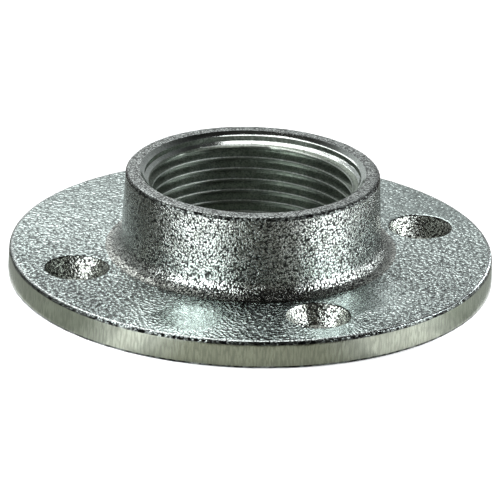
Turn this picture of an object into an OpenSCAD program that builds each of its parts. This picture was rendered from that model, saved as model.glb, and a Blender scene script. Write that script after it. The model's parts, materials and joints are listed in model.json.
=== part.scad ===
// Floor flange: a round cast-iron plate with a threaded boss in its middle and screw holes around it.
// The origin is at the centre of the underside, and +Z runs up the bore, out of the boss.

/* [Plate] */
// Diameter of the plate at its underside
plate_d = 95; // [88:0.5:130]
// Thickness of the plate
plate_t = 5.5; // [4:0.1:9]
// Draft of the rim, in degrees
rim_draft = 2; // [0.5:0.5:6]
// Radius of the rim's rounded top edge
rim_top_r = 0.8; // [0.3:0.1:1.5]
// Radius of the rim's rounded bottom edge
rim_bottom_r = 0.4; // [0.2:0.1:1]

/* [Boss] */
// Height of the boss above the plate
boss_h = 15.9; // [12:0.1:30]
// Wall of the boss at its top, from the thread's crests to the outside
boss_wall = 5.35; // [4.5:0.05:8]
// Draft of the boss's side, in degrees
boss_draft = 2.8; // [0.5:0.1:6]
// Radius of the boss's rounded top edge
boss_edge_r = 0.8; // [0.2:0.1:1.2]
// Radius of the fillet between the boss and the plate
root_r = 3; // [1:0.1:4]

/* [Bore] */
// Diameter at the crests of the pipe thread
bore_d = 38.95; // [30:0.05:40.5]
// Step outwards from the thread's crests to the counterbore
counterbore_step = 1.65; // [1.2:0.05:2.2]
// Depth of the counterbore below the top of the boss
counterbore_depth = 1.7; // [1:0.1:4]
// Height of the cone that leads from the counterbore into the thread
lead_in_h = 1; // [0.5:0.05:3]
// Width of the chamfer at the counterbore's mouth
mouth_w = 0.95; // [0.3:0.05:1.3]
// Height of the chamfer at the counterbore's mouth
mouth_h = 0.75; // [0.2:0.05:1]
// Width and height of the chamfer at the thread's lower end
exit_chamfer = 1.2; // [0.5:0.1:2]

/* [Screw holes] */
// Number of screw holes
hole_count = 4; // [3:1:6]
// Diameter of the circle through the holes' centres
hole_pcd = 72; // [70.5:0.5:79]
// Diameter of a screw hole at the underside
hole_d = 8; // [6.5:0.1:9.5]
// Diameter of the conical seat for a screw's head, at the top of the plate
seat_d = 12.5; // [10.5:0.1:13]
// Slope of the seat against the hole's axis, in degrees
seat_slope = 30; // [25:1:45]
// Radius of the seat's rounded edge
seat_edge_r = 0.5; // [0.2:0.1:1]

/* [Hidden] */
$fn = 128;

plate_r = plate_d / 2;
bore_r = bore_d / 2;
boss_r = bore_r + boss_wall;
counterbore_r = bore_r + counterbore_step;
top_z = plate_t + boss_h;
// How far a cutting shape runs past the faces that it cuts
overrun = 1;
// Angle, in degrees, at which an arc crosses the faces that it joins: nearly tangent, with clean ends
crossing = 4;

// Corners of the turned section, as [radius, height]
rim_foot = [plate_r, 0];
rim_top = [plate_r - plate_t * tan(rim_draft), plate_t];
boss_foot = [boss_r + boss_h * tan(boss_draft), plate_t];
boss_top = [boss_r, top_z];
mouth = [counterbore_r + mouth_w, top_z];
counterbore_top = [counterbore_r, top_z - mouth_h];
counterbore_floor = [counterbore_r, top_z - counterbore_depth];
thread_top = [bore_r, top_z - counterbore_depth - lead_in_h];
thread_foot = [bore_r, exit_chamfer];
exit_edge = [bore_r + exit_chamfer, 0];

function unit(v) = v / norm(v);

// The piece between a corner and an arc of radius r that rounds it off. The corner's sides run
// towards the points a and b, and the piece spills a little over the corner itself.
module corner_piece(corner, a, b, r) {
    u = unit(a - corner);
    v = unit(b - corner);
    middle = unit(u + v);
    half_angle = acos(u * v) / 2;
    inset = r * cos(crossing);
    reach = inset / tan(half_angle);
    difference() {
        polygon([corner - middle * r / 2, corner + u * reach, corner + v * reach]);
        translate(corner + middle * inset / sin(half_angle)) circle(r);
    }
}

// Half of the casting's section, to the right of its axis
module section() {
    difference() {
        union() {
            polygon([exit_edge, rim_foot, rim_top, boss_foot, boss_top, mouth, counterbore_top,
                     counterbore_floor, thread_top, thread_foot]);
            corner_piece(boss_foot, rim_top, boss_top, root_r);
        }
        corner_piece(rim_foot, exit_edge, rim_top, rim_bottom_r);
        corner_piece(rim_top, rim_foot, boss_foot, rim_top_r);
        corner_piece(boss_top, boss_foot, mouth, boss_edge_r);
    }
}

// One screw hole with its seat, to be cut from the plate
module screw_hole() {
    hole_r = hole_d / 2;
    seat_r = seat_d / 2;
    lip = [seat_r, plate_t];
    seat_foot = [hole_r, plate_t - (seat_r - hole_r) / tan(seat_slope)];
    clear_z = plate_t + root_r + overrun;
    rotate_extrude() {
        polygon([[0, -overrun], [hole_r, -overrun], seat_foot, lip, [seat_r, clear_z], [0, clear_z]]);
        corner_piece(lip, seat_foot, [plate_r, plate_t], seat_edge_r);
    }
}

module flange() {
    color("#a4aba7")
    difference() {
        rotate_extrude() section();
        for (i = [0 : hole_count - 1])
            rotate(i * 360 / hole_count) translate([hole_pcd / 2, 0, 0]) screw_hole();
    }
}

flange();
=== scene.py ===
"""Looks of the floor flange: one galvanised iron casting on a white table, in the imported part's frame."""

import json
import math
from typing import NamedTuple

import bpy
import numpy as np
from mathutils import Matrix, Vector, noise


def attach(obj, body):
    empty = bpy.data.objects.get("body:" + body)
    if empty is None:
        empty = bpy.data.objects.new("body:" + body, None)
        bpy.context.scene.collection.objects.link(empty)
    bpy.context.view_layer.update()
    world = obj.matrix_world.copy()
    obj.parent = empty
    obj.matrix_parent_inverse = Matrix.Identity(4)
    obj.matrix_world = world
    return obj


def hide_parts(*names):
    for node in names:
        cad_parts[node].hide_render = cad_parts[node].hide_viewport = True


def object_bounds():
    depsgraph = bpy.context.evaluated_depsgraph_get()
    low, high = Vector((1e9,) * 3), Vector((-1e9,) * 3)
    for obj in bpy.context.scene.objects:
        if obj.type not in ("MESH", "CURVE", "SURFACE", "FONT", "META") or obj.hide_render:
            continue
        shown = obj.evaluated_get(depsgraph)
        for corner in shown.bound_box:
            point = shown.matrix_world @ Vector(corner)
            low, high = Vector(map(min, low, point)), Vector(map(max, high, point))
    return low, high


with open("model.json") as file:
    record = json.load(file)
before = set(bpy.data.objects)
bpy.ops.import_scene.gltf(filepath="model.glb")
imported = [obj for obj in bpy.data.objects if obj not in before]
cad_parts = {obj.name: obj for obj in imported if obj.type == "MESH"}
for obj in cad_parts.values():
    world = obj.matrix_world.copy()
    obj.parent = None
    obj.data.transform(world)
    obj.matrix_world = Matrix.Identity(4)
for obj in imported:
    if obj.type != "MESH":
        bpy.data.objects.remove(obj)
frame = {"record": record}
CAD_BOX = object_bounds()

MM = 0.001
UM = 0.001 * MM
MOUNTS = {mount["name"]: mount["dims"] for mount in frame["record"]["mounts"]}

# Sizes from the frame
BORE_R = MOUNTS["pipe_thread"]["r_mm"] * MM
HOLE_CIRCLE_R = MOUNTS["screw_holes"]["pcd_mm"] / 2 * MM
HOLE_R = MOUNTS["screw_holes"]["hole_r_mm"] * MM
HOLE_COUNT = MOUNTS["screw_holes"]["count"]
PLATE_R = CAD_BOX[1].x
TOP_Z = CAD_BOX[1].z

# Sizes of the section, the same as in the part's source
PLATE_T = 5.5 * MM
RIM_DRAFT = math.radians(2)
RIM_TOP_R = 0.8 * MM
RIM_BOTTOM_R = 0.4 * MM
BOSS_WALL = 5.35 * MM
BOSS_DRAFT = math.radians(2.8)
BOSS_EDGE_R = 0.8 * MM
ROOT_R = 3 * MM
COUNTERBORE_STEP = 1.65 * MM
COUNTERBORE_DEPTH = 1.7 * MM
LEAD_IN_H = 1 * MM
MOUTH_W = 0.95 * MM
MOUTH_H = 0.75 * MM
EXIT_CHAMFER = 1.2 * MM
SEAT_R = 6.25 * MM
SEAT_SLOPE = math.radians(30)
SEAT_EDGE_R = 0.5 * MM

# Pipe thread: its pitch and the depth of its groove below the bore
PITCH = 2.309 * MM
THREAD_DEPTH = 1.479 * MM
# How far its flanks would overshoot before crest and root cut them flat, and the share of a sine in them
FLANK_OVERSHOOT = 1.12
FLANK_ROUNDING = 0.25
# Share of the lead-in cone, from its top down, that is as bright as the mouth; below it the cone takes the
# thread's dark colour, painted shade
CONE_SHARE = 0.5

# Corners of the section, as radius and height
BOSS_R = BORE_R + BOSS_WALL
COUNTERBORE_R = BORE_R + COUNTERBORE_STEP
RIM_FOOT = (PLATE_R, 0)
RIM_TOP = (PLATE_R - PLATE_T * math.tan(RIM_DRAFT), PLATE_T)
BOSS_FOOT = (BOSS_R + (TOP_Z - PLATE_T) * math.tan(BOSS_DRAFT), PLATE_T)
BOSS_TOP = (BOSS_R, TOP_Z)
MOUTH = (COUNTERBORE_R + MOUTH_W, TOP_Z)
COUNTERBORE_TOP = (COUNTERBORE_R, TOP_Z - MOUTH_H)
COUNTERBORE_FLOOR = (COUNTERBORE_R, TOP_Z - COUNTERBORE_DEPTH)
EXIT_EDGE = (BORE_R + EXIT_CHAMFER, 0)
# Where the mouth's chamfer changes its slope, just above the counterbore
MOUTH_STEP = (COUNTERBORE_R + 0.24 * MM, TOP_Z - MOUTH_H + 0.12 * MM)

# Corners of a screw hole's section, as distance from its axis and height
SEAT_FOOT = (HOLE_R, PLATE_T - (SEAT_R - HOLE_R) / math.tan(SEAT_SLOPE))
SEAT_LIP = (SEAT_R, PLATE_T)

# Height of the dark line along the foot of the rim, above its rounded edge: painted shade standing in for the
# contact shadow
RIM_SHADE_LINE = 0.15 * MM

# Fineness of the mesh: columns round the axis, spacing of the rows, and rows to one pitch of the thread
COARSE = 180
FINE = 3 * COARSE
ROW = 0.42 * MM
ROWS_PER_PITCH = 12
# Angle between faces from which the edge between them is sharp
SHARP_ANGLE = math.radians(30)
# The block of the plate round each screw hole: half its width, its rows, where it ends, and the rings in it
HOLE_HALF_COLUMNS = 7
HOLE_BLOCK_ROWS = 13
HOLE_BLOCK_END = 44.4 * MM
HOLE_RINGS = 8
# Where the rings round a hole lie on the underside, from the hole at 0 to the block's outline at 1
UNDER_HOLE_SHARES = (0.6, 0.25, 0)
# Rows outside the blocks, on the plate and on the underside, and rows on the underside inside them
TOP_OUTER_ROWS = 5
UNDER_OUTER_ROWS = 2
UNDER_INNER_ROWS = 4
# Steps in which the boss's edge still looks like the ring and the rim's like its lip, a painted highlight,
# before the dark edge colour, painted shade, takes over; and the steps of a seat's edge that have this
# painted shade
RING_STEPS = 2
HIGHLIGHT_LIP_STEPS = 3
SEAT_SHADE_STEPS = 2

# Lumps of the cast relief: the sizes and shares of the large and small ones, and how far they are pushed
LUMP = 2.6 * MM
LUMP_SHARE = 0.6
SMALL_LUMP = 1.2 * MM
LUMP_CONTRAST = 1.4

# Blotches in the zinc: how many to a metre, and between which values of the noise the colour changes
BLOTCH_SCALE = 420
BLOTCH_RANGE = (0.3, 0.7)
# Heights of the grain between which a pit turns into plain zinc
PIT_HEIGHTS = (0, 0.42)
# How softly the pebbles of the grain run into each other
PEBBLE_SMOOTHNESS = 0.25
# Roughness of every noise texture
NOISE_ROUGHNESS = 0.6
# The side of the casting where the plate's grain is highest, and where the change begins and ends
ROUGH_SIDE = (-0.37, -0.93, 0)
ROUGH_REACH = (-20 * MM, 35 * MM)
# Places on the plate where the zinc lies smoother, each with its reach; the dark pits fade there, so that the
# colour is lighter, painted pools of light
SMOOTH_AND_LIT_SPOTS = (((-24.3 * MM, -30.2 * MM, PLATE_T), 16 * MM),
                ((9.5 * MM, -31.5 * MM, PLATE_T), 15 * MM),
                ((0, -44 * MM, PLATE_T), 11 * MM))
# Share of its reach in which a spot is smoothest, and what is left of the grain there
SPOT_CORE = 0.3
SPOT_GRAIN = 0.15

# Camera: where it stands round the object, and how far above the origin it aims
VIEW_AZIMUTH = math.radians(-21.5)
VIEW_ELEVATION = math.radians(22.2)
VIEW_ROLL = math.radians(1.7)
VIEW_DISTANCE = 981.6 * MM
AIM_UP = 4.38 * MM
LENS_MM = 360

# Softbox: azimuth and elevation in degrees, distance, width and height, and radiance
KEY_AZIMUTH = -163
KEY_ELEVATION = 58
KEY_DISTANCE = 700 * MM
KEY_SIZE = (420 * MM, 760 * MM)
KEY_RADIANCE = 2.9
# Colour of the light cards, a little cooler than the softbox
CARD_COLOUR = (0.96, 1.0, 1.04)

# Table: half its width, how pale it is, and how much white a camera or a mirror adds to it
TABLE_HALF = 2.0
TABLE = 0.9
TABLE_GLOW = 0.5
# How matt the table and the grey cards on it are
STAGE_ROUGHNESS = 0.9

# Grey cards on the table: their inner and outer edges, height, colours, and steps and fading in degrees
CARD_NEAR = 48 * MM
CARD_MIDDLE = 66 * MM
CARD_FAR = 400 * MM
CARD_LIFT = 0.2 * MM
FRONT_GREY = (0.55, 0.55, 0.48)
SIDE_GREY = (0.38, 0.395, 0.365)
DARK_GREY = (0.07, 0.065, 0.05)
CARD_STEP = 4
CARD_FADE = 12

# Room: its colours on the camera's side and behind the object, and how far back the second one begins
ROOM_FRONT = (0.26, 0.255, 0.23)
ROOM_BACK = (0.85, 0.88, 0.88)
ROOM_BACK_FROM = 0.5
# Where the room is brightest, from -1 at the left to 1 at the right, and how it dims away from there
ROOM_BRIGHTEST = -0.35
ROOM_DIMMING = (0.2, 1.1)
ROOM_LEVELS = (0.74, 0.25)
# Height at which the room begins to dim overhead and where that ends, and what is left there
OVERHEAD = (0.45, 0.8)
OVERHEAD_SHARE = 0.15


class Finish(NamedTuple):
    """How one zone of the casting looks.

    Colour and roughness change with the blotches. The relief is the depth of the lumps in the mesh. Grain and
    grain_size are the height and width of the pebbles in the material, and the colour in the pits between
    them is the dark one times pit. An upright share below 1 draws the grain out along the axis. Where rough
    values are given, grain and pit change to them towards the rough side.
    """

    dark: tuple
    pale: tuple
    roughness: tuple
    relief: float
    grain: float
    grain_size: float
    pit: float = 0.3
    upright: float = 1.0
    detail: int = 3
    rough_grain: float = None
    rough_pit: float = None
    smooth_and_lit_spots: tuple = ()


FINISHES = {
    "plate": Finish((0.446, 0.517, 0.496), (0.683, 0.776, 0.754), (0.06, 0.12), relief=0.09 * MM,
                    grain=75 * UM, grain_size=0.70 * MM, pit=0.6, detail=1,
                    rough_grain=470 * UM, rough_pit=0.1, smooth_and_lit_spots=SMOOTH_AND_LIT_SPOTS),
    "boss": Finish((0.362, 0.381, 0.344), (0.675, 0.706, 0.669), (0.06, 0.13), relief=0.11 * MM,
                   grain=95 * UM, grain_size=0.40 * MM, pit=0.05),
    "ring": Finish((0.275, 0.299, 0.287), (0.434, 0.462, 0.451), (0.12, 0.22), relief=0.05 * MM,
                   grain=120 * UM, grain_size=0.44 * MM),
    # Paler than the plate, with fewer dark pits: a painted highlight along the top of the rim
    "lip": Finish((0.508, 0.553, 0.538), (0.688, 0.747, 0.733), (0.10, 0.16), relief=0.05 * MM,
                  grain=60 * UM, grain_size=0.44 * MM, pit=0.4),
    # Nearly black on the lower side of rounded edges and at the rim's foot: painted shade lines
    "edge": Finish((0.03, 0.033, 0.03), (0.24, 0.26, 0.24), (0.10, 0.18), relief=0.08 * MM,
                   grain=260 * UM, grain_size=0.80 * MM, pit=0.1),
    "rim": Finish((0.308, 0.325, 0.267), (0.397, 0.419, 0.345), (0.16, 0.24), relief=0.05 * MM,
                  grain=25 * UM, grain_size=0.40 * MM, pit=0.85, upright=0.2),
    "recess": Finish((0.54, 0.581, 0.553), (0.675, 0.716, 0.689), (0.10, 0.17), relief=0.004 * MM,
                     grain=6 * UM, grain_size=0.40 * MM, pit=0.9),
    # Dark colour on the counterbore wall, the lower lead-in cone and the thread: painted shade inside the
    # bore
    "thread": Finish((0.199, 0.227, 0.194), (0.305, 0.345, 0.295), (0.32, 0.42), relief=0.004 * MM,
                     grain=20 * UM, grain_size=0.40 * MM, pit=0.8),
    # Pale colour on one row along each crest: painted highlight lines on the dark thread
    "crest": Finish((0.54, 0.585, 0.54), (0.69, 0.75, 0.69), (0.36, 0.46), relief=0.004 * MM,
                    grain=10 * UM, grain_size=0.40 * MM, pit=0.8),
    "hole": Finish((0.468, 0.481, 0.423), (0.728, 0.767, 0.715), (0.06, 0.13), relief=0.12 * MM,
                   grain=110 * UM, grain_size=0.44 * MM, pit=0.1),
    "underside": Finish((0.432, 0.492, 0.468), (0.624, 0.684, 0.66), (0.20, 0.32), relief=0.06 * MM,
                        grain=120 * UM, grain_size=0.60 * MM),
}
ZONES = list(FINISHES)


class LightCard(NamedTuple):
    """An upright light at one side, with its azimuth in degrees from the camera towards the right."""

    name: str
    azimuth: float
    distance: float
    width: float
    foot: float
    top: float
    radiance: float


LIGHT_CARDS = [
    LightCard("left_low_card", -42, 112 * MM, width=78 * MM, foot=1 * MM, top=32 * MM, radiance=3.3),
    LightCard("left_high_card", -44, 112 * MM, width=66 * MM, foot=32 * MM, top=100 * MM, radiance=10.0),
    LightCard("right_low_card", 66, 66 * MM, width=26 * MM, foot=1 * MM, top=31 * MM, radiance=4.8),
    LightCard("right_high_card", 85, 290 * MM, width=140 * MM, foot=90 * MM, top=220 * MM, radiance=9.0),
    LightCard("small_card", 108, 66 * MM, width=12 * MM, foot=10 * MM, top=22 * MM, radiance=9.5),
]


def run(a, b, step):
    """Points from a to b, without a itself, that lie a step apart or a little less."""
    count = max(1, math.ceil(math.dist(a, b) / step))
    return [tuple(np.add(a, np.subtract(b, a) * k / count)) for k in range(1, count + 1)]


def arc(corner, before, after, radius, steps):
    """Points of a round on a corner, from the side that comes from before to the one that goes to after."""
    corner, before, after = np.array(corner), np.array(before), np.array(after)
    u = (before - corner) / np.linalg.norm(before - corner)
    v = (after - corner) / np.linalg.norm(after - corner)
    half = math.acos(np.dot(u, v)) / 2
    centre = corner + (u + v) / np.linalg.norm(u + v) * radius / math.sin(half)
    start = corner + u * radius / math.tan(half) - centre
    end = corner + v * radius / math.tan(half) - centre
    sweep = math.pi - 2 * half
    shares = np.arange(steps + 1) / steps
    return [tuple(centre + (math.sin((1 - s) * sweep) * start + math.sin(s * sweep) * end) / math.sin(sweep))
            for s in shares]


# Rounds of the section and of a screw hole's seat
BOSS_EDGE = arc(BOSS_TOP, MOUTH, BOSS_FOOT, BOSS_EDGE_R, steps=6)
ROOT = arc(BOSS_FOOT, BOSS_TOP, RIM_TOP, ROOT_R, steps=10)
RIM_TOP_EDGE = arc(RIM_TOP, BOSS_FOOT, RIM_FOOT, RIM_TOP_R, steps=6)
RIM_BOTTOM_EDGE = arc(RIM_FOOT, RIM_TOP, (0, 0), RIM_BOTTOM_R, steps=4)
SEAT_EDGE = arc(SEAT_LIP, SEAT_FOOT, (PLATE_R, PLATE_T), SEAT_EDGE_R, steps=4)
# Where the flat part of the plate begins and ends
PLATE_IN = ROOT[-1][0]
PLATE_OUT = RIM_TOP_EDGE[0][0]


class Skin:
    """Points and faces of one closed mesh. Faces join rings that follow each other along the section."""

    def __init__(self):
        self.points = []
        self.faces = []
        self.zones = []

    def add(self, points):
        """Adds points and returns their indices."""
        first = len(self.points)
        self.points.extend(tuple(p) for p in points)
        return list(range(first, len(self.points)))

    def ring(self, radius, height, count):
        """Adds a ring of points round the axis. The radius is one number, or one for each point."""
        turns = np.arange(count) * math.tau / count
        radii = np.broadcast_to(radius, count)
        return self.add(zip(radii * np.cos(turns), radii * np.sin(turns), np.full(count, height)))

    def face(self, corners, zone):
        """Adds a face. Corners that repeat are left out, and so is a face with fewer than three."""
        kept = [c for k, c in enumerate(corners) if c != corners[k - 1]]
        if len(kept) > 2:
            self.faces.append(kept)
            self.zones.append(ZONES.index(zone))

    def join(self, a, b, zone, skip=()):
        """Joins two rings with as many points, or with three times as many on one of them."""
        columns = min(len(a), len(b))
        a_step, b_step = len(a) // columns, len(b) // columns
        for k in range(columns):
            if k in skip:
                continue
            a_part = [a[(k * a_step + i) % len(a)] for i in range(a_step + 1)]
            b_part = [b[(k * b_step + i) % len(b)] for i in range(b_step + 1)]
            if a_step == b_step:
                self.face([a_part[0], b_part[0], b_part[1], a_part[1]], zone)
            elif b_step == 3:
                self.face([a_part[0], b_part[0], b_part[1]], zone)
                self.face([a_part[0], b_part[1], b_part[2], a_part[1]], zone)
                self.face([a_part[1], b_part[2], b_part[3]], zone)
            else:
                self.face([a_part[0], b_part[0], a_part[1]], zone)
                self.face([a_part[1], b_part[0], b_part[1], a_part[2]], zone)
                self.face([a_part[2], b_part[1], a_part[3]], zone)

    def sweep(self, start, section, zone):
        """Carries on from a ring through the points of a section, and returns the last ring."""
        for radius, height in section:
            following = self.ring(radius, height, len(start))
            self.join(start, following, zone)
            start = following
        return start

    def drop_unused(self):
        """Takes out the points that no face uses."""
        used = sorted({corner for face in self.faces for corner in face})
        place = {old: new for new, old in enumerate(used)}
        self.points = [self.points[old] for old in used]
        self.faces = [[place[corner] for corner in face] for face in self.faces]


def hole_columns(count, half):
    """The columns of faces that the blocks of the screw holes take out of a ring."""
    step = count // HOLE_COUNT
    return {(h * step + c) % count for h in range(HOLE_COUNT) for c in range(-half, half)}


def plate_rows(skin, start, radii, height, zone, half, block):
    """Flat rings that leave out a block round each hole, between two of the rows. Returns the rings."""
    skip = hole_columns(len(start), half)
    rings = [start]
    for radius in radii:
        ring = skin.ring(radius, height, len(start))
        inside = block[0] <= len(rings) - 1 < block[1]
        skin.join(rings[-1], ring, zone, skip if inside else ())
        rings.append(ring)
    return rings


def loop_round(rows, middle, half):
    """The points round a block of rows, counter-clockwise from its inner corner. Rows run outwards."""
    count = len(rows[0])
    first, last = middle - half, middle + half
    outwards = [row[first % count] for row in rows[:-1]]
    along = [rows[-1][c % count] for c in range(first, last)]
    inwards = [row[last % count] for row in rows[:0:-1]]
    back = [rows[0][c % count] for c in range(last, first, -1)]
    return outwards + along + inwards + back


def hole_ring(skin, loop, centre, radius, height, share):
    """A ring between a circle round a hole, at share 0, and the loop of its block, at share 1."""
    points = []
    for index in loop:
        place = Vector(skin.points[index][:2])
        on_circle = centre + (place - centre).normalized() * radius
        points.append((*on_circle.lerp(place, share), height))
    return skin.add(points)


def screw_hole(skin, top_loop, under_loop, centre):
    """One screw hole, from the loop of its block on the underside to the one on the top."""
    last = under_loop
    for share in UNDER_HOLE_SHARES:
        ring = hole_ring(skin, under_loop, centre, HOLE_R, 0, share)
        skin.join(last, ring, "underside")
        last = ring
    wall = [*run((HOLE_R, 0), SEAT_FOOT, ROW), *run(SEAT_FOOT, SEAT_EDGE[0], ROW)]
    # The first steps of the seat's round take the dark edge colour: painted shade along the hole's lip
    shade_end = 1 + SEAT_SHADE_STEPS
    for zone, section in (("hole", wall), ("edge", SEAT_EDGE[1:shade_end]), ("plate", SEAT_EDGE[shade_end:])):
        for radius, height in section:
            ring = hole_ring(skin, top_loop, centre, radius, height, 0)
            skin.join(last, ring, zone)
            last = ring
    for k in range(1, HOLE_RINGS):
        ring = hole_ring(skin, top_loop, centre, SEAT_EDGE[-1][0], PLATE_T, k / HOLE_RINGS)
        skin.join(last, ring, "plate")
        last = ring
    skin.join(last, top_loop, "plate")


def thread_radius(turn, height):
    """Radius of the bore at a place on its wall: the thread, or a chamfer where that cuts deeper."""
    phase = (height / PITCH - turn / math.tau) % 1
    away_from_root = np.abs(2 * phase - 1)
    flank = np.clip(FLANK_OVERSHOOT * (1 - 2 * away_from_root), -1, 1)
    groove = (1 - FLANK_ROUNDING) * flank + FLANK_ROUNDING * np.sin(math.pi / 2 * flank)
    thread = BORE_R + THREAD_DEPTH * (0.5 + 0.5 * groove)
    below_floor = COUNTERBORE_FLOOR[1] - height
    lead_in = BORE_R + COUNTERBORE_STEP * (1 - below_floor / LEAD_IN_H)
    way_out = EXIT_EDGE[0] - height
    return np.maximum(np.maximum(thread, lead_in), way_out)


def threaded_bore(skin, foot, top):
    """The bore's wall between two rings. Its rows climb with the thread, so crest and root follow edges."""
    count = len(foot)
    turns = np.arange(count) * math.tau / count
    top_z = COUNTERBORE_FLOOR[1]
    cone_foot = top_z - CONE_SHARE * LEAD_IN_H
    row_h = PITCH / ROWS_PER_PITCH
    row_count = math.ceil(top_z / row_h) + ROWS_PER_PITCH + 1
    rows = []
    for i in range(row_count):
        heights = row_h * (i - ROWS_PER_PITCH) + PITCH * turns / math.tau
        heights = np.where(np.abs(heights - cone_foot) < row_h / 2, cone_foot, heights)
        radii = thread_radius(turns, heights)
        row = []
        for j in range(count):
            if heights[j] < row_h / 4:
                row.append(foot[j])
            elif heights[j] > top_z - row_h / 4:
                row.append(top[j])
            else:
                row += skin.add([(radii[j] * math.cos(turns[j]), radii[j] * math.sin(turns[j]), heights[j])])
        rows.append(row)
    # After one turn a row meets the start of the row one pitch above it
    for row, above in zip(rows, rows[ROWS_PER_PITCH:]):
        row.append(above[0])
    for i in range(row_count - 1):
        low, high = rows[i], rows[i + 1]
        # One row at each crest takes a pale colour, a painted highlight line; the other rows below the cone
        # take the thread's painted shade
        highlight_or_shade = "crest" if i % ROWS_PER_PITCH == 0 else "thread"
        for j in range(min(len(low), len(high)) - 1):
            zone = "recess" if skin.points[low[j]][2] >= cone_foot else highlight_or_shade
            skin.face([low[j], high[j], high[j + 1], low[j + 1]], zone)


def add_boss(skin, mouth):
    """The ring on top of the boss and its side, down to the plate. Returns the last ring."""
    ring_end = 1 + RING_STEPS
    start = skin.sweep(mouth, [*run(MOUTH, BOSS_EDGE[0], ROW), *BOSS_EDGE[1:ring_end]], "ring")
    # The lower steps of the boss's edge take the dark edge colour: painted shade under the ring
    start = skin.sweep(start, BOSS_EDGE[ring_end:], "edge")
    return skin.sweep(start, [*run(BOSS_EDGE[-1], ROOT[0], ROW), *ROOT[1:]], "boss")


def add_plate(skin, foot):
    """The top of the plate, with room for the screw holes. Returns its rings."""
    fine_rows = 3 * HOLE_BLOCK_ROWS
    radii = [*np.linspace(PLATE_IN, HOLE_BLOCK_END, fine_rows + 1)[1:],
             *np.linspace(HOLE_BLOCK_END, PLATE_OUT, TOP_OUTER_ROWS + 1)[1:]]
    return plate_rows(skin, foot, radii, PLATE_T, "plate", 3 * HOLE_HALF_COLUMNS, (0, fine_rows))


def add_rim(skin, start):
    """The rim, with a painted highlight on its lip, and painted shade as a dark edge at its top and as a dark
    line at its foot. Returns the last ring.
    """
    highlight_end = 1 + HIGHLIGHT_LIP_STEPS
    # The upper steps of the rim's top edge take the paler lip colour: a painted highlight
    start = skin.sweep(start, RIM_TOP_EDGE[1:highlight_end], "lip")
    # The lower steps of the rim's top edge take the dark edge colour: painted shade
    start = skin.sweep(start, RIM_TOP_EDGE[highlight_end:], "edge")
    foot_r, foot_z = RIM_BOTTOM_EDGE[0]
    start = skin.sweep(start, run(RIM_TOP_EDGE[-1], (foot_r, foot_z + RIM_SHADE_LINE), ROW), "rim")
    # The rounded foot and the strip above it take the dark edge colour: painted shade of the contact line
    return skin.sweep(start, RIM_BOTTOM_EDGE, "edge")


def add_underside(skin, rim_end):
    """The underside, with room for the screw holes. Returns its rings."""
    outer_r = RIM_BOTTOM_EDGE[-1][0]
    radii = [*np.linspace(outer_r, HOLE_BLOCK_END, UNDER_OUTER_ROWS + 1)[1:],
             *np.linspace(HOLE_BLOCK_END, PLATE_IN, HOLE_BLOCK_ROWS + 1)[1:],
             *np.linspace(PLATE_IN, EXIT_EDGE[0] + 2 * ROW, UNDER_INNER_ROWS + 1)[1:]]
    start = skin.ring(outer_r - ROW, 0, COARSE)
    skin.join(rim_end, start, "underside")
    block = (UNDER_OUTER_ROWS, UNDER_OUTER_ROWS + HOLE_BLOCK_ROWS)
    return plate_rows(skin, start, radii, 0, "underside", HOLE_HALF_COLUMNS, block)


def add_holes(skin, top_rings, under_rings):
    """The screw holes, in the blocks that the top and the underside leave out."""
    top_block = top_rings[:3 * HOLE_BLOCK_ROWS + 1]
    under_block = under_rings[UNDER_OUTER_ROWS:UNDER_OUTER_ROWS + HOLE_BLOCK_ROWS + 1][::-1]
    for h in range(HOLE_COUNT):
        turn = h * math.tau / HOLE_COUNT
        centre = Vector((math.cos(turn), math.sin(turn))) * HOLE_CIRCLE_R
        top_loop = loop_round(top_block, h * FINE // HOLE_COUNT, 3 * HOLE_HALF_COLUMNS)
        under_loop = loop_round(under_block, h * COARSE // HOLE_COUNT, HOLE_HALF_COLUMNS)
        screw_hole(skin, top_loop, under_loop, centre)


def add_bore(skin, exit_edge, mouth):
    """The bore, from its lower edge up the thread, the counterbore and the chamfer to the mouth."""
    floor_ring = skin.ring(*COUNTERBORE_FLOOR, COARSE)
    threaded_bore(skin, exit_edge, floor_ring)
    # The counterbore wall takes the thread's dark colour: painted shade
    wall_end = skin.sweep(floor_ring, run(COUNTERBORE_FLOOR, COUNTERBORE_TOP, ROW), "thread")
    chamfer = [*run(COUNTERBORE_TOP, MOUTH_STEP, ROW), *run(MOUTH_STEP, MOUTH, ROW)[:-1]]
    chamfer_end = skin.sweep(wall_end, chamfer, "recess")
    skin.join(chamfer_end, mouth, "recess")


def flange_skin():
    """The whole surface, along its section from the mouth outwards, round the plate and up the bore."""
    skin = Skin()
    mouth = skin.ring(*MOUTH, FINE)
    foot = add_boss(skin, mouth)
    top_rings = add_plate(skin, foot)
    rim_end = add_rim(skin, top_rings[-1])
    under_rings = add_underside(skin, rim_end)
    turns = np.arange(COARSE) * math.tau / COARSE
    exit_edge = skin.ring(thread_radius(turns, np.zeros(COARSE)), 0, COARSE)
    skin.join(under_rings[-1], exit_edge, "underside")
    add_holes(skin, top_rings, under_rings)
    add_bore(skin, exit_edge, mouth)
    skin.drop_unused()
    return skin


def relief(point):
    """How far the cast surface lies below its true form at a point, as a share of the zone's relief."""
    lumps = LUMP_SHARE * noise.noise(point / LUMP) + (1 - LUMP_SHARE) * noise.noise(point / SMALL_LUMP)
    return 0.5 + 0.5 * max(-1, min(1, LUMP_CONTRAST * lumps))


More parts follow.
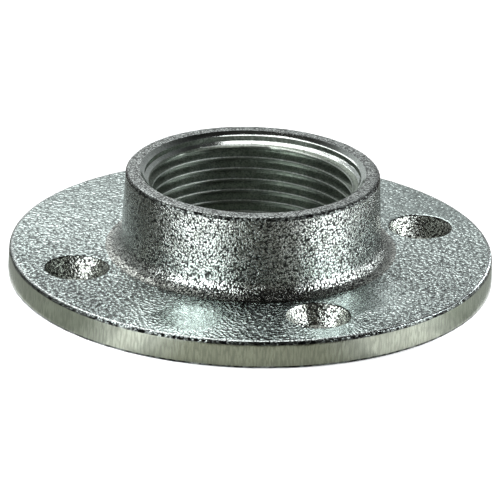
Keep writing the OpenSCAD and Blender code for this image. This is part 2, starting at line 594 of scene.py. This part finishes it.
def roughen(mesh, skin):
    """Sinks each point along its normal by the mean relief of the zones that it touches."""
    count = len(mesh.vertices)
    places = np.empty(count * 3)
    normals = np.empty(count * 3)
    mesh.vertices.foreach_get("co", places)
    mesh.vertices.foreach_get("normal", normals)
    places, normals = places.reshape(-1, 3), normals.reshape(-1, 3)
    touching = np.zeros(count)
    depth = np.zeros(count)
    for corners, zone in zip(skin.faces, skin.zones):
        for corner in corners:
            touching[corner] += 1
            depth[corner] += FINISHES[ZONES[zone]].relief
    depth /= touching
    for k in range(count):
        places[k] -= normals[k] * depth[k] * relief(Vector(places[k]))
    mesh.vertices.foreach_set("co", places.ravel())
    mesh.update()


def add_node(tree, kind, inputs=None, **settings):
    """A shader node with its settings and inputs. An input that is a socket is linked."""
    made = tree.nodes.new(kind)
    for name, value in settings.items():
        setattr(made, name, value)
    for name, value in (inputs or {}).items():
        if isinstance(value, bpy.types.NodeSocket):
            tree.links.new(value, made.inputs[name])
        else:
            made.inputs[name].default_value = value
    return made


def add_ramp(tree, source, low, high):
    """A ramp of two colours, given as position and colour."""
    ramp = add_node(tree, "ShaderNodeValToRGB", {"Fac": source})
    for stop, (position, colour) in zip(ramp.color_ramp.elements, (low, high)):
        stop.position = position
        stop.color = (*colour, 1)
    return ramp.outputs["Color"]


def add_noise(tree, place, scale, detail):
    """Outputs of a noise texture at a place."""
    inputs = {"Vector": place, "Scale": scale, "Detail": detail, "Roughness": NOISE_ROUGHNESS}
    return add_node(tree, "ShaderNodeTexNoise", inputs).outputs


def calc(tree, operation, *values):
    """The result of a math operation on numbers."""
    return add_node(tree, "ShaderNodeMath", dict(enumerate(values)), operation=operation).outputs["Value"]


def measure(tree, operation, a, b):
    """The number that comes from two vectors, such as their dot product or distance."""
    return add_node(tree, "ShaderNodeVectorMath", {0: a, 1: b}, operation=operation).outputs["Value"]


def remap(tree, value, source, target):
    """A value mapped from the two ends of a range to those of another, and held between them."""
    inputs = {"Value": value, "From Min": source[0], "From Max": source[1],
              "To Min": target[0], "To Max": target[1]}
    return add_node(tree, "ShaderNodeMapRange", inputs).outputs["Result"]


def new_material(name):
    """A material, with its node tree and its shader."""
    material = bpy.data.materials.new(name)
    material.use_nodes = True
    tree = material.node_tree
    return material, tree, tree.nodes["Principled BSDF"]


def grain_height(tree, place, finish):
    """Height of the grain: pebbles with bent outlines, and a finer noise on them."""
    size = finish.grain_size
    fine = add_noise(tree, place, 1 / size, finish.detail)
    bent = add_node(tree, "ShaderNodeVectorMath", {0: fine["Color"], 1: (size, size, size), 2: place},
                    operation="MULTIPLY_ADD")
    pebbles = add_node(tree, "ShaderNodeTexVoronoi",
                       {"Vector": bent.outputs["Vector"], "Scale": 1 / size, "Smoothness": PEBBLE_SMOOTHNESS},
                       feature="SMOOTH_F1")
    hollows = calc(tree, "POWER", pebbles.outputs["Distance"], 2)
    return calc(tree, "SUBTRACT", fine["Fac"], hollows)


def grain_share(tree, place, spots):
    """What is left of the grain at a place: little in each of the smooth spots, and all away from them."""
    left = 1
    for centre, reach in spots:
        away = measure(tree, "DISTANCE", place, centre)
        left = calc(tree, "MINIMUM", left, remap(tree, away, (SPOT_CORE * reach, reach), (SPOT_GRAIN, 1)))
    return left


def zinc(name, finish):
    """Zinc on iron: mottled colour, uneven gloss, and a grain with dark pits. In smooth spots the grain
    flattens and the pits fade, which lightens the colour there into painted pools of light.
    """
    material, tree, shader = new_material(name)
    shader.inputs["Metallic"].default_value = 1
    on_object = add_node(tree, "ShaderNodeTexCoord").outputs["Object"]
    place = add_node(tree, "ShaderNodeMapping",
                     {"Vector": on_object, "Scale": (1, 1, finish.upright)}).outputs["Vector"]

    blotches = add_noise(tree, place, BLOTCH_SCALE, detail=4)["Fac"]
    colour = add_ramp(tree, blotches, (BLOTCH_RANGE[0], finish.dark), (BLOTCH_RANGE[1], finish.pale))
    gloss = remap(tree, blotches, BLOTCH_RANGE, finish.roughness)

    height = grain_height(tree, place, finish)
    depth, pit = finish.grain, finish.pit
    if finish.rough_grain:
        across = measure(tree, "DOT_PRODUCT", place, ROUGH_SIDE)
        depth = remap(tree, across, ROUGH_REACH, (finish.grain, finish.rough_grain))
        pit = remap(tree, across, ROUGH_REACH, (finish.pit, finish.rough_pit))
    strength = 1
    cover = remap(tree, height, PIT_HEIGHTS, (0, 1))
    if finish.smooth_and_lit_spots:
        strength = grain_share(tree, place, finish.smooth_and_lit_spots)
        # The dark pits fade in the smooth spots: the lighter colour there is a painted pool of light
        cover = remap(tree, strength, (0, 1), (1, cover))
    in_pits = add_node(tree, "ShaderNodeVectorMath", {0: finish.dark, "Scale": pit}, operation="SCALE")
    pitted = add_node(tree, "ShaderNodeMix", {"Factor": cover, "A": in_pits.outputs["Vector"], "B": colour},
                      data_type="RGBA")
    bump = add_node(tree, "ShaderNodeBump", {"Height": height, "Distance": depth, "Strength": strength})

    tree.links.new(pitted.outputs["Result"], shader.inputs["Base Color"])
    tree.links.new(gloss, shader.inputs["Roughness"])
    tree.links.new(bump.outputs["Normal"], shader.inputs["Normal"])
    return material


def make_flange():
    """The casting, in place of the CAD node."""
    skin = flange_skin()
    mesh = bpy.data.meshes.new("flange_casting")
    mesh.from_pydata(skin.points, [], skin.faces)
    for zone, finish in FINISHES.items():
        mesh.materials.append(zinc("zinc_" + zone, finish))
    mesh.polygons.foreach_set("material_index", skin.zones)
    mesh.polygons.foreach_set("use_smooth", [True] * len(skin.faces))
    mesh.update()
    roughen(mesh, skin)
    mesh.set_sharp_from_angle(angle=SHARP_ANGLE)
    piece = bpy.data.objects.new("flange_casting", mesh)
    bpy.context.collection.objects.link(piece)
    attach(piece, "root")
    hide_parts("flange")


def view_frame():
    """The camera's right, up and backward directions, before its roll."""
    turn = Matrix.Rotation(VIEW_AZIMUTH, 3, "Z")
    right = turn @ Vector((1, 0, 0))
    back = turn @ Vector((0, -math.cos(VIEW_ELEVATION), math.sin(VIEW_ELEVATION)))
    return right, back.cross(right), back


def make_camera():
    """The camera, placed as in the photograph."""
    right, up, back = view_frame()
    rolled_right = right * math.cos(VIEW_ROLL) + up * math.sin(VIEW_ROLL)
    rolled_up = up * math.cos(VIEW_ROLL) - right * math.sin(VIEW_ROLL)
    data = bpy.data.cameras.new("camera")
    data.lens = LENS_MM
    camera = bpy.data.objects.new("camera", data)
    place = rolled_up * AIM_UP + back * VIEW_DISTANCE
    axes = Matrix((rolled_right, rolled_up, back)).transposed()
    camera.matrix_world = Matrix.Translation(place) @ axes.to_4x4()
    bpy.context.collection.objects.link(camera)
    bpy.context.scene.camera = camera


def from_camera_side(azimuth, elevation):
    """The direction at an azimuth, counted from the camera's side of the object towards its right."""
    turn = VIEW_AZIMUTH + math.radians(azimuth)
    lift = math.radians(elevation)
    return Vector((math.sin(turn) * math.cos(lift), -math.cos(turn) * math.cos(lift), math.sin(lift)))


def make_light(name, place, facing, size, radiance, colour=(1, 1, 1)):
    """A rectangular light that faces a direction. Its size is its width and height."""
    data = bpy.data.lights.new(name, "AREA")
    data.shape = "RECTANGLE"
    data.size, data.size_y = size
    data.energy = radiance * math.pi * size[0] * size[1]
    data.color = colour
    light = bpy.data.objects.new(name, data)
    light.location = place
    light.rotation_mode = "QUATERNION"
    light.rotation_quaternion = facing.to_track_quat("-Z", "Y")
    light.visible_camera = False
    bpy.context.collection.objects.link(light)


def make_lights():
    """A softbox above and behind, and light cards at the sides, which the metal mirrors."""
    above = from_camera_side(KEY_AZIMUTH, KEY_ELEVATION)
    make_light("key_softbox", above * KEY_DISTANCE, -above, KEY_SIZE, KEY_RADIANCE)
    for card in LIGHT_CARDS:
        side = from_camera_side(card.azimuth, 0)
        place = side * card.distance + Vector((0, 0, (card.foot + card.top) / 2))
        make_light(card.name, place, -side, (card.width, card.top - card.foot), card.radiance, CARD_COLOUR)


def matt_material(name):
    """A material without gloss, with its node tree and its shader."""
    material, tree, shader = new_material(name)
    shader.inputs["Roughness"].default_value = STAGE_ROUGHNESS
    shader.inputs["Specular IOR Level"].default_value = 0
    return material, tree, shader


def make_floor():
    """A white table top that can be looked through from below."""
    corners = [(x * TABLE_HALF, y * TABLE_HALF, 0) for x, y in ((-1, -1), (1, -1), (1, 1), (-1, 1))]
    mesh = bpy.data.meshes.new("floor")
    mesh.from_pydata(corners, [], [(0, 1, 2, 3)])
    material, tree, shader = matt_material("table")
    shader.inputs["Base Color"].default_value = (TABLE, TABLE, TABLE, 1)
    shader.inputs["Emission Color"].default_value = (1, 1, 1, 1)
    rays = add_node(tree, "ShaderNodeLightPath").outputs
    seen = calc(tree, "MAXIMUM", rays["Is Camera Ray"], rays["Is Glossy Ray"])
    seen = calc(tree, "MAXIMUM", seen, rays["Is Transmission Ray"])
    tree.links.new(calc(tree, "MULTIPLY", seen, TABLE_GLOW), shader.inputs["Emission Strength"])
    from_below = add_node(tree, "ShaderNodeNewGeometry").outputs["Backfacing"]
    clear = add_node(tree, "ShaderNodeBsdfTransparent").outputs["BSDF"]
    both = add_node(tree, "ShaderNodeMixShader", {"Fac": from_below, 1: shader.outputs["BSDF"], 2: clear})
    tree.links.new(both.outputs["Shader"], tree.nodes["Material Output"].inputs["Surface"])
    mesh.materials.append(material)
    floor = bpy.data.objects.new("floor", mesh)
    bpy.context.collection.objects.link(floor)


def make_card(name, sectors, inner, outer, colour):
    """A flat studio card on the table, in sectors round the object, that only mirroring surfaces see.

    A sector goes from one azimuth to another, in degrees from the camera towards the right. The colour
    fades to the table's towards both ends of a sector.
    """
    points = []
    faces = []
    tints = []
    for start, end in sectors:
        for azimuth in range(start, end + 1, CARD_STEP):
            side = from_camera_side(azimuth, 0)
            points += [side * inner, side * outer]
            share = min(1, (azimuth - start) / CARD_FADE, (end - azimuth) / CARD_FADE)
            tints += [[*(TABLE + share * (c - TABLE) for c in colour), 1]] * 2
            if azimuth > start:
                last = len(points)
                faces.append((last - 4, last - 3, last - 1, last - 2))
    mesh = bpy.data.meshes.new(name)
    mesh.from_pydata([point + Vector((0, 0, CARD_LIFT)) for point in points], [], faces)
    tint = mesh.attributes.new("tint", "FLOAT_COLOR", "POINT")
    tint.data.foreach_set("color", np.ravel(tints))
    material, tree, shader = matt_material(name)
    tree.links.new(add_node(tree, "ShaderNodeAttribute", attribute_name="tint").outputs["Color"],
                   shader.inputs["Base Color"])
    mesh.materials.append(material)
    card = bpy.data.objects.new(name, mesh)
    card.visible_camera = False
    card.visible_diffuse = False
    card.visible_shadow = False
    bpy.context.collection.objects.link(card)


def make_surround():
    """Dark reflections for the metal: grey cards close to the rim and a nearly black one farther out."""
    make_card("front_card", [(-28, 32)], CARD_NEAR, CARD_MIDDLE, FRONT_GREY)
    make_card("side_card", [(-160, -36), (52, 160)], CARD_NEAR, CARD_MIDDLE, SIDE_GREY)
    make_card("dark_card", [(-160, -48), (-26, 38), (76, 160)], CARD_MIDDLE, CARD_FAR, DARK_GREY)


def make_world():
    """A room that is pale behind the object, and dimmer at the camera's side, the far sides and overhead."""
    world = bpy.data.worlds.new("studio")
    world.use_nodes = True
    tree = world.node_tree
    direction = add_node(tree, "ShaderNodeTexCoord").outputs["Generated"]
    back = measure(tree, "DOT_PRODUCT", direction, -from_camera_side(0, 0))
    colour = add_ramp(tree, back, (0.0, ROOM_FRONT), (ROOM_BACK_FROM, ROOM_BACK))
    side = measure(tree, "DOT_PRODUCT", direction, from_camera_side(90, 0))
    aside = calc(tree, "ABSOLUTE", calc(tree, "ADD", side, -ROOM_BRIGHTEST))
    level = remap(tree, aside, ROOM_DIMMING, ROOM_LEVELS)
    lift = measure(tree, "DOT_PRODUCT", direction, (0, 0, 1))
    overhead = remap(tree, lift, OVERHEAD, (1, OVERHEAD_SHARE))
    background = tree.nodes["Background"]
    tree.links.new(colour, background.inputs["Color"])
    tree.links.new(calc(tree, "MULTIPLY", level, overhead), background.inputs["Strength"])
    bpy.context.scene.world = world


make_flange()
make_camera()
make_floor()
make_surround()
make_world()
make_lights()
bpy.context.scene.view_settings.view_transform = "Standard"
